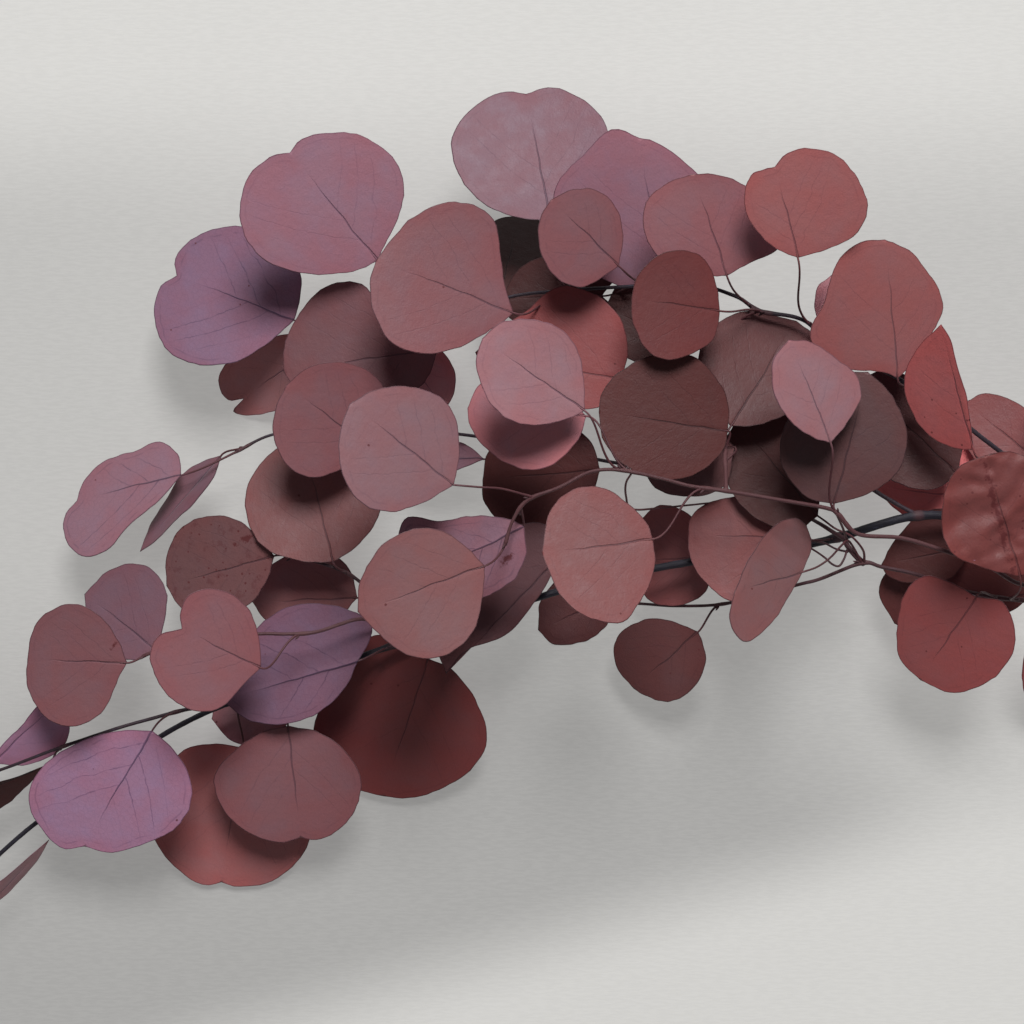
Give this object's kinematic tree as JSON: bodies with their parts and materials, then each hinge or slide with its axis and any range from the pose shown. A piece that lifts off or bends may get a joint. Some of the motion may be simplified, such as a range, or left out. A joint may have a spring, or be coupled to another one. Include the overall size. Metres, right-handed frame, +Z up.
{
  "type": "eucalyptus branch",
  "caption": "Preserved eucalyptus branch with round stalked leaves in mauve, rose and brick on thin dark twigs, lying on a flat surface.",
  "frame": {"origin": "centre of the bounding box, on the surface that the branch lies on", "axes": "+X along the branch from its leafy tips to its cut end, +Z up off the surface, +Y towards the twig with the most leaves"},
  "size_m": [0.7078, 0.3775, 0.1217],
  "materials": {
    "bark": "matte, dark brown",
    "leaf": "matte, slightly velvety, dyed mauve to brick"
  },
  "bodies": {
    "root": {"main_stem": "bark", "upper_twig": "leaf", "back_twig": "leaf", "front_twig": "leaf", "inner_twig": "leaf", "lower_twig": "leaf", "side_twig": "leaf", "left_twig": "leaf", "tip_twig": "leaf"}
  },
  "joints": []
}
